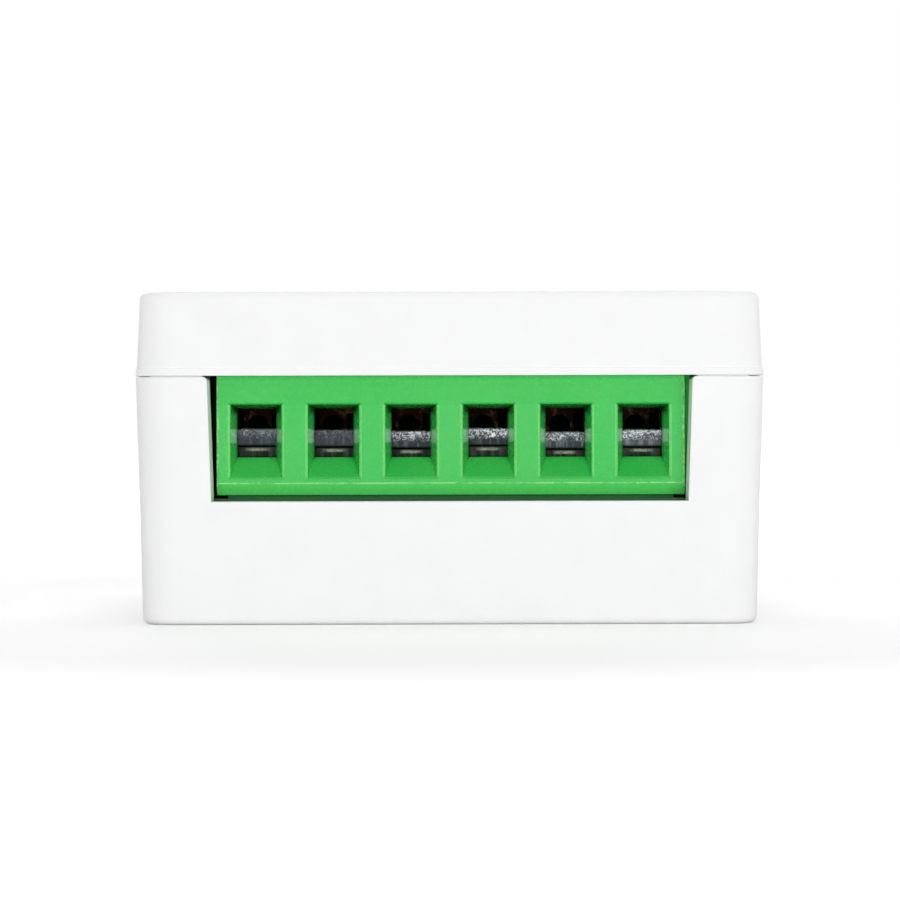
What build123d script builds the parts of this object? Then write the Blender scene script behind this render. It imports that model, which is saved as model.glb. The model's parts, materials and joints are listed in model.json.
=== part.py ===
from build123d import *
import math
import os

os.makedirs("parts", exist_ok=True)

# Smart relay module for a wall box, sizes in millimetres.
# The origin is the middle of the underside, +Z is up and the terminal side faces -Y.

# Case
case_width = 41.2
case_depth = 43.0
case_height = 21.7
cover_height = 5.55
seam_gap = 0.08
wall = 1.6
floor_thickness = 1.5
roof_thickness = 1.5
corner_radius = 2.5
edge_radius = 0.5
seam_edge_radius = 0.12
base_draft_angle = 1.6
cover_draft_angle = 2.6
rim_height = 0.48
rim_step = 0.05
tongue_thickness = 0.7
tongue_height = 1.0
tongue_clearance = 0.1
overrun = 1.0

# Cut-out in the front wall, open up to the seam
ledge_drop = 0.17
cutout_bottom_width = 31.1
cutout_top_width = 31.6
cutout_corner_radius = 0.3
cutout_draft = 0.1

# Snap hooks of the cover and their pockets in the base
hook_places_y = (-7.0, 9.0)
hook_width = 4.0
hook_thickness = 0.9
hook_reach = 3.4
hook_clearance = 0.1
barb_depth = 0.45
barb_height = 1.0
pocket_margin = 0.15

# Circuit board and the posts that hold it
board_thickness = 1.6
board_clearance = 0.25
board_corner_radius = 1.0
post_radius = 1.2
pin_radius = 0.6
pin_rise = 0.4
pin_clearance = 0.1
pillar_radius = 1.0
pillar_gap = 0.1
pillar_bore_depth = 0.8
post_places = ((-17.0, -14.0), (17.0, -14.0), (-16.8, 17.4), (16.8, 17.4))
rib_thickness = 1.0
rib_front = -18.4
rib_back = -12.0

# Terminal block housing
way_count = 6
pitch = 5.08
block_left_margin = 0.05
block_right_margin = 0.2
block_recess = 1.9
block_depth = 10.0
block_height = 11.8
block_lift = 0.2
block_roof_gap = 0.2
foot_width = 1.4
foot_depth = 1.2
rail_depth = 0.6
rail_set_back = 1.0
block_chamfer = 0.78
block_top_chamfer = 0.9
block_edge_radius = 0.12
mouth_width = 3.38
mouth_height = 4.81
mouth_rise = 1.36
mouth_bevel = 0.1
window_width = 2.57
window_height = 3.21
window_rise = 2.69
lead_in_depth = 1.4
throat_depth = 0.3
rib_set_back = 0.6
rib_root_width = 0.7
rib_tip_width = 1.0
rib_projection = 0.33
rib_slack = 0.08
core_pocket_width = 3.4
core_pocket_depth = 1.4
core_pocket_height = 7.0

# Clamp cage
cage_width = 3.7
cage_depth = 3.8
cage_wall = 0.5
cage_corner_radius = 0.35
cage_side_clearance = 0.06
cage_end_clearance = 0.1
bar_rise = 4.55
bar_thickness = 1.27
bar_edge_radius = 0.2
fold_thickness = 1.0
fold_set_back = 0.55
fold_end_inset = 0.25
fold_edge_radius = 0.35
nut_thickness = 1.1
cage_open_travel = 1.1
cage_close_travel = 1.5
cage_rest_offsets = (0.10, 0.03, -0.07, 0.10, -0.14, -0.01)
groove_count = 3
groove_depth = 0.1
groove_spacing = 0.8

# Clamp screw
screw_radius = 1.25
screw_head_radius = 1.75
screw_head_height = 0.8
screw_clearance = 0.05
screw_chamfer = 0.3
screw_head_edge = 0.1
slot_width = 0.6
slot_depth = 0.45
slot_angles = (12.0, 47.0, 98.0, 31.0, 140.0, 74.0)
lip_radius = 1.55
access_radius = 1.6
access_flare = 0.3

# Contact strip
strip_thickness = 0.7
strip_width = 2.5
strip_bend_radius = 0.5
tab_lift = 0.2
tab_seat_depth = 0.4
seat_clearance = 0.03
leg_depth = 6.95
leg_width = 1.9
leg_shift = -0.18
arch_width = 1.4
arch_top_drop = 0.6
arch_height = 2.6
foot_gap = 0.3
contact_pin_width = 1.0
solder_rise = 1.2
strip_gap = 0.1
lead_hole_clearance = 0.15
slot_end_clearance = 0.6
slot_side_clearance = 0.45

# Pairing button and the tactile switch under it
button_place = (7.2, 14.3)
button_hole_radius = 2.5
button_head_radius = 2.4
button_sink = 0.15
button_flange_radius = 3.2
button_flange_thickness = 0.8
button_stem_radius = 1.5
button_crown_radius = 0.3
button_travel = 0.3
button_gap = 0.05
switch_size = 6.0
switch_corner_chamfer = 0.6
switch_body_height = 3.3
switch_well_radius = 2.2
switch_well_floor = 1.2
switch_plate_thickness = 0.25
plunger_radius = 1.7
plunger_flange_radius = 2.0
plunger_height = 8.0
plunger_clearance = 0.1
dome_radius = 1.8
dome_rise = 0.7
dome_thickness = 0.12

# Status light
light_place = (11.9, 16.6)
light_head_radius = 1.2
light_flange_radius = 1.8
light_flange_thickness = 0.6
light_stem_radius = 1.0
light_fit = 0.05
led_length = 2.0
led_width = 1.25
led_height = 0.8
led_gap = 0.4
led_draft_angle = 5.0

# Power relays
relay_places = ((-12.0, 0.2), (-1.2, 0.2))
relay_width = 10.2
relay_length = 18.0
relay_roof_gap = 0.8
relay_wall = 0.5
relay_fit = 0.05
relay_edge_radius = 0.4
relay_base_lift = 0.2
relay_base_thickness = 1.4
coil_axis_height = 6.5
bobbin_flange_size = 7.4
bobbin_flange_thickness = 0.7
bobbin_length = 12.0
bobbin_tube_radius = 2.0
bobbin_back = -7.25
winding_radius = 3.4
core_radius = 1.5
core_fit = 0.05
pole_radius = 2.4
pole_thickness = 0.8
yoke_thickness = 1.0
yoke_width = 6.0
yoke_upright_height = 7.0
yoke_seat_gap = 0.05
pole_gap = 0.1
armature_height = 7.2
armature_heel = 0.6
armature_thickness = 1.0
armature_angle = 5.0
blade_thickness = 0.25
blade_width = 2.4
blade_foot = 0.6
blade_top = 6.1
arm_width = 1.5
contact_offset = 3.7
contact_lever = 5.35
contact_radius = 0.65
moving_contact_thickness = 0.5
fixed_contact_thickness = 0.35
contact_rest_clearance = 0.05
relay_strip_width = 1.1
relay_strip_thickness = 0.4
relay_pin_size = 0.6
relay_pin_inset = 3.9
relay_pin_back = -7.8
relay_pin_stub = 1.2
relay_common_front = 5.2

# Mains supply
lead_radius = 0.3
bulk_place = (9.2, -4.9)
bulk_radius = 4.0
bulk_height = 11.0
output_place = (15.0, 12.4)
output_radius = 2.5
output_height = 9.0
can_edge_radius = 0.4
can_groove_rise = 1.6
can_groove_depth = 0.25
lead_spacing_share = 0.45
transformer_place = (11.4, 4.6)
ferrite_width = 10.2
ferrite_height = 8.4
ferrite_depth = 4.7
ferrite_lift = 0.3
ferrite_leg = 1.3
ferrite_window_width = 2.6
ferrite_clearance = 0.1
winding_block_length = 9.6
winding_block_height = 5.4
bobbin_leg_depth = 1.6
varistor_place = (15.6, -4.9)
varistor_radius = 3.4
varistor_thickness = 3.0
varistor_lift = 0.4
varistor_edge_radius = 0.8
varistor_lead_reach = 2.5
resistor_place = (-8.5, 11.1)
resistor_radius = 1.3
resistor_length = 7.0
resistor_cap_radius = 1.45
resistor_cap_length = 1.4
resistor_edge_radius = 0.4
resistor_lead_reach = 5.0
resistor_lift = 0.3

# Radio module, standing on edge
radio_place = (-9.0, 15.0)
radio_width = 15.0
radio_height = 10.6
radio_thickness = 0.8
shield_width = 11.0
shield_height = 7.6
shield_depth = 2.2
shield_lift = 0.9
shield_wall = 0.2
shield_edge_radius = 0.3

# Places and sizes that follow from the ones above
seam_height = case_height - cover_height
cover_bottom = seam_height + seam_gap
roof_underside = case_height - roof_thickness
block_top = roof_underside - block_roof_gap
board_top = block_top - block_height
board_bottom = board_top - board_thickness
cutout_bottom = board_top - ledge_drop
block_front = -case_depth / 2 + block_recess
block_back = block_front + block_depth
block_left = -way_count * pitch / 2 - block_left_margin
block_right = way_count * pitch / 2 + block_right_margin
block_underside = board_top + block_lift
mouth_bottom = board_top + mouth_rise
window_bottom = board_top + window_rise
window_top = window_bottom + window_height
chamber_front = block_front + lead_in_depth + throat_depth
chamber_depth = cage_depth + 2 * cage_end_clearance
chamber_width = cage_width + 2 * cage_side_clearance
screw_y = chamber_front + chamber_depth / 2
bar_top = board_top + bar_rise
tab_underside = window_top + tab_lift
tab_top = tab_underside + strip_thickness
nut_underside = tab_top + strip_gap + cage_open_travel
nut_top = nut_underside + nut_thickness
chamber_top = nut_top + cage_close_travel + strip_gap
screw_end = tab_top + screw_clearance
screw_head_underside = chamber_top + screw_clearance
screw_head_top = screw_head_underside + screw_head_height
pin_tip = board_bottom - solder_rise
foot_top = board_top + foot_gap + strip_thickness
leg_y = block_front + leg_depth
relay_height = roof_underside - board_top - relay_roof_gap
way_places_x = [(index - (way_count - 1) / 2) * pitch for index in range(way_count)]


def draft(height, angle):
    """How far a wall of this draft angle leans in over a height."""
    return height * math.tan(math.radians(angle))


def base_inset(height):
    """How far the base's outer face at a height stands inside its widest outline."""
    return draft(seam_height - height, base_draft_angle)


def cover_inset(height):
    """The same for the cover, measured from its lower edge."""
    return draft(height - cover_bottom, cover_draft_angle)


def case_outline(inset, mode=Mode.ADD):
    """Plan outline of the case, moved inwards by a distance."""
    width = case_width - 2 * inset
    depth = case_depth - 2 * inset
    RectangleRounded(width, depth, corner_radius - inset, mode=mode)


def plan_block(x_range, y_range, z_range, mode=Mode.ADD):
    """Straight block between two corners, joined to or cut from the part in hand."""
    middle = ((x_range[0] + x_range[1]) / 2, (y_range[0] + y_range[1]) / 2)
    with BuildSketch(Plane.XY.offset(z_range[0])) as outline:
        with Locations(middle):
            Rectangle(x_range[1] - x_range[0], y_range[1] - y_range[0])
    extrude(outline.sketch, amount=z_range[1] - z_range[0], mode=mode)


def plan_rod(places, radius, z_range, mode=Mode.ADD):
    """Upright round rods, or holes, at some places in plan."""
    with BuildSketch(Plane.XY.offset(z_range[0])) as outline:
        with Locations(*places):
            Circle(radius)
    extrude(outline.sketch, amount=z_range[1] - z_range[0], mode=mode)


def finish(piece, name):
    """Name a finished piece and write its file."""
    piece.part.label = name
    export_step(piece.part, f"parts/{name}.step")


# Base shell: drafted tub with a tongue round its rim, board posts and hook pockets
hook_outer = case_width / 2 - wall - base_inset(seam_height - hook_reach) - hook_clearance
hook_tip = seam_height - hook_reach
barb_top = hook_tip + barb_height
cutout_land_share = 1.5
cutout_land = cutout_corner_radius * cutout_land_share


def cutout_outline(depth):
    """Outline of the cut-out at a depth in the front wall, with rounded corners at the seam."""
    inset = cutout_draft * depth / wall
    bottom_half = cutout_bottom_width / 2 - inset
    top_half = cutout_top_width / 2 - inset
    above = seam_height + tongue_height + overrun
    with BuildSketch(Plane.XZ.offset(case_depth / 2 - depth)) as outline:
        with BuildLine():
            Polyline(
                (-bottom_half, cutout_bottom),
                (bottom_half, cutout_bottom),
                (top_half, seam_height),
                (top_half + cutout_land, seam_height),
                (top_half + cutout_land, above),
                (-top_half - cutout_land, above),
                (-top_half - cutout_land, seam_height),
                (-top_half, seam_height),
                close=True,
            )
        make_face()
        rim_corners = [
            corner for corner in outline.vertices() if abs(abs(corner.X) - top_half) < seam_gap
        ]
        fillet(rim_corners, cutout_corner_radius)
    return outline.sketch


with BuildPart() as base_shell:
    with BuildSketch():
        case_outline(base_inset(0))
    with BuildSketch(Plane.XY.offset(seam_height)):
        case_outline(0)
    loft(ruled=True)
    fillet(base_shell.edges().group_by(Axis.Z)[0], edge_radius)
    fillet(base_shell.edges().group_by(Axis.Z)[-1], seam_edge_radius)
    with BuildSketch(Plane.XY.offset(floor_thickness)):
        case_outline(base_inset(floor_thickness) + wall)
    with BuildSketch(Plane.XY.offset(seam_height)):
        case_outline(wall)
    loft(ruled=True, mode=Mode.SUBTRACT)
    with BuildSketch(Plane.XY.offset(seam_height)):
        case_outline(wall - tongue_thickness)
        case_outline(wall, mode=Mode.SUBTRACT)
    extrude(amount=tongue_height)

    # Cut-out for the wire entries
    loft([cutout_outline(-overrun), cutout_outline(wall + overrun)], ruled=True, mode=Mode.SUBTRACT)

    # Posts with locating pins under the board, and ribs that back the terminal block
    plan_rod(post_places, post_radius, (floor_thickness, board_bottom))
    plan_rod(post_places, pin_radius, (board_bottom, board_top + pin_rise))
    for rib_x in (-2 * pitch, 0, 2 * pitch):
        rib_range = (rib_x - rib_thickness / 2, rib_x + rib_thickness / 2)
        plan_block(rib_range, (rib_front, rib_back), (floor_thickness, board_bottom))

    # Blind pockets that the cover's hooks snap into
    pocket_outer = hook_outer + barb_depth + pocket_margin
    for hook_y in hook_places_y:
        pocket_y = (
            hook_y - hook_width / 2 - pocket_margin,
            hook_y + hook_width / 2 + pocket_margin,
        )
        pocket_z = (hook_tip - pocket_margin, barb_top + pocket_margin)
        plan_block((hook_outer, pocket_outer), pocket_y, pocket_z, mode=Mode.SUBTRACT)
        plan_block((-pocket_outer, -hook_outer), pocket_y, pocket_z, mode=Mode.SUBTRACT)
finish(base_shell, "base_shell")

# Top cover: drafted lid with a rim band, screw holes, snap hooks and hold-down pillars
pillar_bottom = board_top + pillar_gap
rebate_inset = wall - tongue_thickness - tongue_clearance
rebate_top = seam_height + tongue_height + tongue_clearance

with BuildPart() as top_cover:
    with BuildSketch(Plane.XY.offset(cover_bottom)):
        case_outline(rim_step)
    with BuildSketch(Plane.XY.offset(case_height)):
        case_outline(rim_step + cover_inset(case_height))
    loft(ruled=True)
    fillet(top_cover.edges().group_by(Axis.Z)[-1], edge_radius)
    with BuildSketch(Plane.XY.offset(cover_bottom)):
        case_outline(0)
    extrude(amount=rim_height)
    with BuildSketch(Plane.XY.offset(cover_bottom)):
        case_outline(wall)
    with BuildSketch(Plane.XY.offset(roof_underside)):
        case_outline(wall + cover_inset(roof_underside))
    loft(ruled=True, mode=Mode.SUBTRACT)
    with BuildSketch(Plane.XY.offset(cover_bottom)):
        case_outline(rebate_inset)
    extrude(amount=rebate_top - cover_bottom, mode=Mode.SUBTRACT)

    # Snap hooks: a leg that hangs inside the base's wall, with a ramped barb
    with BuildSketch(Plane.XZ) as hook_profile:
        with BuildLine():
            Polyline(
                (hook_outer - hook_thickness, roof_underside),
                (hook_outer - hook_thickness, hook_tip),
                (hook_outer - hook_thickness / 2, hook_tip),
                (hook_outer + barb_depth, hook_tip + barb_depth),
                (hook_outer + barb_depth, barb_top),
                (hook_outer, barb_top),
                (hook_outer, rebate_top + tongue_clearance),
                (case_width / 2 - wall / 2, rebate_top + tongue_clearance),
                (case_width / 2 - wall, roof_underside),
                close=True,
            )
        make_face()
        mirror(about=Plane.YZ)
    for hook_y in hook_places_y:
        extrude(
            hook_profile.sketch.moved(Location((0, hook_y + hook_width / 2, 0))),
            amount=hook_width,
            dir=(0, -1, 0),
        )

    # Pillars that hold the board down on its posts
    plan_rod(post_places, pillar_radius, (pillar_bottom, roof_underside))
    bore_top = pillar_bottom + pillar_bore_depth
    plan_rod(post_places, pin_radius + pin_clearance, (pillar_bottom, bore_top), Mode.SUBTRACT)

    # Screwdriver holes over the clamp screws, then the button's and the light's holes
    with Locations(*[(way_x, screw_y, case_height) for way_x in way_places_x]):
        CounterSinkHole(access_radius, access_radius + access_flare, depth=2 * roof_thickness)
    with Locations((*button_place, case_height)):
        Hole(button_hole_radius, depth=roof_thickness)
    with Locations((*light_place, case_height)):
        Hole(light_head_radius + light_fit, depth=roof_thickness)
finish(top_cover, "top_cover")

# Clamp cage about its screw's axis, with the top of its bar at height zero
nut_level = nut_underside - bar_top
cage_height = bar_thickness + nut_level + nut_thickness

with BuildPart() as cage_shape:
    with BuildSketch(Plane.XZ):
        with Locations((0, cage_height / 2 - bar_thickness)):
            RectangleRounded(cage_width, cage_height, cage_corner_radius)
        with Locations((0, nut_level / 2)):
            Rectangle(cage_width - 2 * cage_wall, nut_level, mode=Mode.SUBTRACT)
    extrude(amount=cage_depth / 2, both=True)
    front_face = cage_shape.faces().sort_by(Axis.Y)[0]
    bar_edges = front_face.edges().filter_by(Axis.X).sort_by(Axis.Z)[0:2]
    fillet(bar_edges, bar_edge_radius)

    # Folded end of the strip under the bar, set back from its front
    fold_range = (-cage_depth / 2 + fold_set_back, cage_depth / 2)
    fold_half = cage_width / 2 - fold_end_inset
    fold_bottom = -bar_thickness - fold_thickness
    plan_block((-fold_half, fold_half), fold_range, (fold_bottom, -bar_thickness))
    low_edges = cage_shape.edges().group_by(Axis.Z)[0]
    fillet(low_edges, fold_edge_radius)

    # Grip grooves across the bar and the threaded hole through the nut
    with BuildSketch(Plane.YZ):
        with GridLocations(groove_spacing, 0, groove_count, 1):
            RegularPolygon(groove_depth, 3, major_radius=False, rotation=-90)
    extrude(amount=cage_width / 2 - cage_wall, both=True, mode=Mode.SUBTRACT)
    with Locations((0, 0, nut_level + nut_thickness)):
        Hole(screw_radius + screw_clearance, depth=nut_thickness)

for index, way_x in enumerate(way_places_x):
    with BuildPart() as clamp_cage:
        with Locations((way_x, screw_y, bar_top + cage_rest_offsets[index])):
            add(cage_shape.part)
    finish(clamp_cage, f"clamp_cage_{index + 1}")

# Clamp screw about its axis, with its tip at height zero
head_level = screw_head_underside - screw_end
screw_length = head_level + screw_head_height

with BuildPart() as screw_shape:
    with BuildSketch(Plane.XZ):
        with BuildLine():
            Polyline(
                (0, 0),
                (screw_radius - screw_chamfer, 0),
                (screw_radius, screw_chamfer),
                (screw_radius, head_level),
                (screw_head_radius, head_level),
                (screw_head_radius, screw_length - screw_head_edge),
                (screw_head_radius - screw_head_edge, screw_length),
                (0, screw_length),
                close=True,
            )
        make_face()
    revolve(axis=Axis.Z)
    slot_range = (-screw_head_radius - overrun, screw_head_radius + overrun)
    slot_levels = (screw_length - slot_depth, screw_length + overrun)
    plan_block(slot_range, (-slot_width / 2, slot_width / 2), slot_levels, Mode.SUBTRACT)

for index, way_x in enumerate(way_places_x):
    with BuildPart() as terminal_screw:
        with Locations(Location((way_x, screw_y, screw_end), (0, 0, slot_angles[index]))):
            add(screw_shape.part)
    finish(terminal_screw, f"terminal_screw_{index + 1}")

# Contact strip: tab through the cage, arched back leg, foot under the cage and solder pin
tab_front = chamber_front - tab_seat_depth + seat_clearance
strip_middle = strip_thickness / 2
arch_top = tab_underside - arch_top_drop
pin_y = screw_y

with BuildPart() as contact_shape:
    with BuildSketch(Plane.YZ):
        with BuildLine() as strip_line:
            FilletPolyline(
                (tab_front, tab_underside + strip_middle),
                (leg_y, tab_underside + strip_middle),
                (leg_y, foot_top - strip_middle),
                (pin_y, foot_top - strip_middle),
                (pin_y, pin_tip),
                radius=strip_bend_radius,
            )
        trace(strip_line.line, line_width=strip_thickness)
    extrude(amount=strip_width / 2, both=True)

    # The leg and the pin are narrower than the tab and the foot
    trim_outer = strip_width / 2 + overrun
    for side in (-1, 1):
        leg_trim = sorted((leg_shift + side * leg_width / 2, side * trim_outer))
        leg_y_range = (leg_y - strip_middle - seat_clearance, leg_y + strip_thickness)
        leg_z_range = (foot_top + strip_bend_radius, tab_underside - strip_bend_radius)
        plan_block(leg_trim, leg_y_range, leg_z_range, mode=Mode.SUBTRACT)
        pin_trim = sorted((side * contact_pin_width / 2, side * trim_outer))
        pin_y_range = (pin_y - strip_thickness, pin_y + strip_thickness)
        pin_z_range = (pin_tip - overrun, board_top + seat_clearance)
        plan_block(pin_trim, pin_y_range, pin_z_range, mode=Mode.SUBTRACT)
    with BuildSketch(Plane.XZ.offset(-leg_y - strip_thickness)):
        with Locations((leg_shift, arch_top - arch_width / 2)):
            Circle(arch_width / 2)
        with Locations((leg_shift, arch_top - arch_width / 2 - arch_height / 2)):
            Rectangle(arch_width, arch_height)
    extrude(amount=2 * strip_thickness, mode=Mode.SUBTRACT)

for index, way_x in enumerate(way_places_x):
    with BuildPart() as terminal_contact:
        with Locations((way_x, 0, 0)):
            add(contact_shape.part)
    finish(terminal_contact, f"terminal_contact_{index + 1}")

# Terminal block housing: one moulding with a funnel, a chamber and a screw well per way
slot_back = leg_y + strip_middle + seat_clearance
slot_half_width = strip_width / 2 + seat_clearance
head_bore_radius = screw_head_radius + screw_clearance
lip_bottom = screw_head_top + screw_clearance

with BuildPart() as terminal_housing:
    with BuildSketch(Plane.YZ.offset(block_left)):
        with BuildLine():
            Polyline(
                (block_front + block_chamfer, block_underside),
                (block_front, block_underside + block_chamfer),
                (block_front, block_top - block_top_chamfer),
                (block_front + block_top_chamfer, block_top),
                (block_back, block_top),
                (block_back, block_underside),
                close=True,
            )
        make_face()
    extrude(amount=block_right - block_left)
    face_edges = terminal_housing.faces().sort_by(Axis.Y)[0].edges()
    fillet(face_edges.filter_by(Axis.Z), block_edge_radius)

    # Standoff rail along the front and two feet at the back
    rail_x = (block_left + foot_width / 2, block_right - foot_width / 2)
    rail_y = (block_front + rail_set_back, block_front + rail_set_back + rail_depth)
    plan_block(rail_x, rail_y, (board_top, block_underside))
    with BuildSketch(Plane.XY.offset(board_top)):
        with Locations((0, block_back - foot_depth)):
            with GridLocations(way_count * pitch - foot_width, 0, 2, 1):
                Rectangle(foot_width, foot_depth)
    extrude(amount=block_lift)

    # Dovetail rib on the right end and the groove for it on the left end
    for end_x, slack in ((block_right, 0), (block_left, rib_slack)):
        reach = rib_projection + slack
        rib_front_y = block_front + rib_set_back - slack
        rib_back_y = block_front + rib_set_back + rib_root_width + slack
        rib_flare = (rib_tip_width - rib_root_width) / 2
        with BuildSketch(Plane.XY.offset(block_underside + block_chamfer)):
            with BuildLine():
                Polyline(
                    (end_x, rib_front_y),
                    (end_x + reach, rib_front_y - rib_flare),
                    (end_x + reach, rib_back_y + rib_flare),
                    (end_x, rib_back_y),
                    close=True,
                )
            make_face()
        extrude(
            amount=block_height - block_lift - block_chamfer - block_top_chamfer,
            mode=Mode.ADD if end_x > 0 else Mode.SUBTRACT,
        )

    for way_x in way_places_x:
        # Funnel that leads the wire in, its edges broken at the face
        mouth_middle = mouth_bottom + mouth_height / 2
        window_middle = window_bottom + window_height / 2
        funnel_sections = (
            (0, mouth_width + 2 * mouth_bevel, mouth_height + 2 * mouth_bevel, mouth_middle),
            (mouth_bevel, mouth_width, mouth_height, mouth_middle),
            (lead_in_depth, window_width, window_height, window_middle),
        )
        for depth, opening_width, opening_height, opening_z in funnel_sections:
            with BuildSketch(Plane.XZ.offset(-block_front - depth)):
                with Locations((way_x, opening_z)):
                    Rectangle(opening_width, opening_height)
        loft(ruled=True, mode=Mode.SUBTRACT)
        throat_x = (way_x - window_width / 2, way_x + window_width / 2)
        throat_y = (block_front + lead_in_depth, chamber_front)
        plan_block(throat_x, throat_y, (window_bottom, window_top), mode=Mode.SUBTRACT)

        # Chamber for the cage, open below, and the slot for the contact strip
        chamber_x = (way_x - chamber_width / 2, way_x + chamber_width / 2)
        chamber_y = (chamber_front, chamber_front + chamber_depth)
        plan_block(chamber_x, chamber_y, (block_underside, chamber_top), mode=Mode.SUBTRACT)
        slot_x = (way_x - slot_half_width, way_x + slot_half_width)
        slot_y = (chamber_front, slot_back)
        slot_z = (block_underside, tab_top + seat_clearance)
        plan_block(slot_x, slot_y, slot_z, mode=Mode.SUBTRACT)
        seat_y = (chamber_front - tab_seat_depth, chamber_front)
        seat_z = (tab_underside - seat_clearance, tab_top + seat_clearance)
        plan_block(slot_x, seat_y, seat_z, mode=Mode.SUBTRACT)

        # Lightening pocket behind the slot
        pocket_x = (way_x - core_pocket_width / 2, way_x + core_pocket_width / 2)
        pocket_front = (slot_back + block_back - core_pocket_depth) / 2
        pocket_y = (pocket_front, pocket_front + core_pocket_depth)
        pocket_z = (block_underside, block_underside + core_pocket_height)
        plan_block(pocket_x, pocket_y, pocket_z, mode=Mode.SUBTRACT)

    # Screw wells: a bore for the head and a lip that keeps it in
    screw_places = [(way_x, screw_y) for way_x in way_places_x]
    plan_rod(screw_places, head_bore_radius, (chamber_top, lip_bottom), Mode.SUBTRACT)
    plan_rod(screw_places, lip_radius, (lip_bottom, block_top), Mode.SUBTRACT)
finish(terminal_housing, "terminal_housing")

# Tactile switch: body, snap dome, long plunger and retaining plate
switch_top = board_top + switch_body_height
plunger_top = board_top + plunger_height
flange_top = switch_top - button_gap
dome_top = board_top + switch_well_floor + dome_rise + dome_thickness
flange_bottom = dome_top + button_travel + plunger_clearance

with BuildPart() as switch_body:
    with BuildSketch(Plane.XY.offset(board_top)):
        with Locations(button_place):
            Rectangle(switch_size, switch_size)
    extrude(amount=switch_body_height)
    chamfer(switch_body.edges().filter_by(Axis.Z), switch_corner_chamfer)
    well_range = (board_top + switch_well_floor, switch_top)
    plan_rod([button_place], switch_well_radius, well_range, Mode.SUBTRACT)
finish(switch_body, "switch_body")

with BuildPart() as switch_plate:
    with BuildSketch(Plane.XY.offset(switch_top)):
        with Locations(button_place):
            Rectangle(switch_size, switch_size)
            Circle(plunger_radius + plunger_clearance, mode=Mode.SUBTRACT)
    extrude(amount=switch_plate_thickness)
    corner_edges = switch_plate.edges().filter_by(Axis.Z).filter_by(GeomType.LINE)
    chamfer(corner_edges.sort_by_distance((*button_place, switch_top))[-4:], switch_corner_chamfer)
finish(switch_plate, "switch_plate")

with BuildPart() as switch_plunger:
    plan_rod([button_place], plunger_flange_radius, (flange_bottom, flange_top))
    plan_rod([button_place], plunger_radius, (flange_top, plunger_top))
finish(switch_plunger, "switch_plunger")

with BuildPart() as switch_dome:
    dome_plane = Plane((*button_place, board_top + switch_well_floor), x_dir=(1, 0, 0), z_dir=(0, -1, 0))
    with BuildSketch(dome_plane):
        with BuildLine():
            outer_arc = ThreePointArc(
                (-dome_radius, dome_thickness),
                (0, dome_rise + dome_thickness),
                (dome_radius, dome_thickness),
            )
            inner_arc = ThreePointArc((-dome_radius, 0), (0, dome_rise), (dome_radius, 0))
            Line(outer_arc @ 0, inner_arc @ 0)
            Line(outer_arc @ 1, inner_arc @ 1)
        make_face()
        split(bisect_by=Plane.YZ, keep=Keep.TOP)
    revolve(axis=Axis((*button_place, board_top), (0, 0, 1)))
finish(switch_dome, "switch_dome")

# Pairing button: head in the cover's hole, flange under the roof, stem on the plunger
button_top = case_height - button_sink
cap_flange_top = roof_underside - button_gap
cap_flange_bottom = cap_flange_top - button_flange_thickness

with BuildPart() as button_cap:
    plan_rod([button_place], button_stem_radius, (plunger_top + button_gap, cap_flange_bottom))
    plan_rod([button_place], button_flange_radius, (cap_flange_bottom, cap_flange_top))
    plan_rod([button_place], button_head_radius, (cap_flange_top, button_top))
    fillet(button_cap.edges().group_by(Axis.Z)[-1], button_crown_radius)
finish(button_cap, "button_cap")

# Status light: a clear pipe from the roof down to a small lamp on the board
led_top = board_top + led_height

with BuildPart() as light_pipe:
    light_flange_bottom = roof_underside - light_flange_thickness
    plan_rod([light_place], light_stem_radius, (led_top + led_gap, light_flange_bottom))
    plan_rod([light_place], light_flange_radius, (light_flange_bottom, roof_underside))
    plan_rod([light_place], light_head_radius, (roof_underside, button_top))
    fillet(light_pipe.edges().group_by(Axis.Z)[-1], button_crown_radius)
finish(light_pipe, "light_pipe")

with BuildPart() as status_led:
    with BuildSketch(Plane.XY.offset(board_top)):
        with Locations(light_place):
            Rectangle(led_length, led_width)
    extrude(amount=led_height / 2)
    with BuildSketch(Plane.XY.offset(board_top + led_height / 2)):
        with Locations(light_place):
            Rectangle(led_length / 2, led_width)
    extrude(amount=led_height / 2, taper=led_draft_angle)
finish(status_led, "status_led")

# Power relays
bobbin_front = bobbin_back + bobbin_length
pole_face = bobbin_front + relay_fit + pole_thickness
hinge_front = pole_face + pole_gap
yoke_bottom = board_top + relay_base_lift + relay_base_thickness + yoke_seat_gap
hinge_height = yoke_bottom + yoke_thickness
yoke_back = bobbin_back - relay_fit - yoke_thickness
coil_axis = board_top + coil_axis_height
moving_contact_reach = armature_thickness - moving_contact_thickness
fixed_contact_front = hinge_front + moving_contact_reach - contact_rest_clearance
fixed_strip_front = fixed_contact_front - fixed_contact_thickness
fixed_strip_back = fixed_strip_front - relay_strip_thickness
fixed_strip_top = hinge_height + contact_lever + contact_radius
common_back = relay_common_front - relay_pin_size


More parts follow.
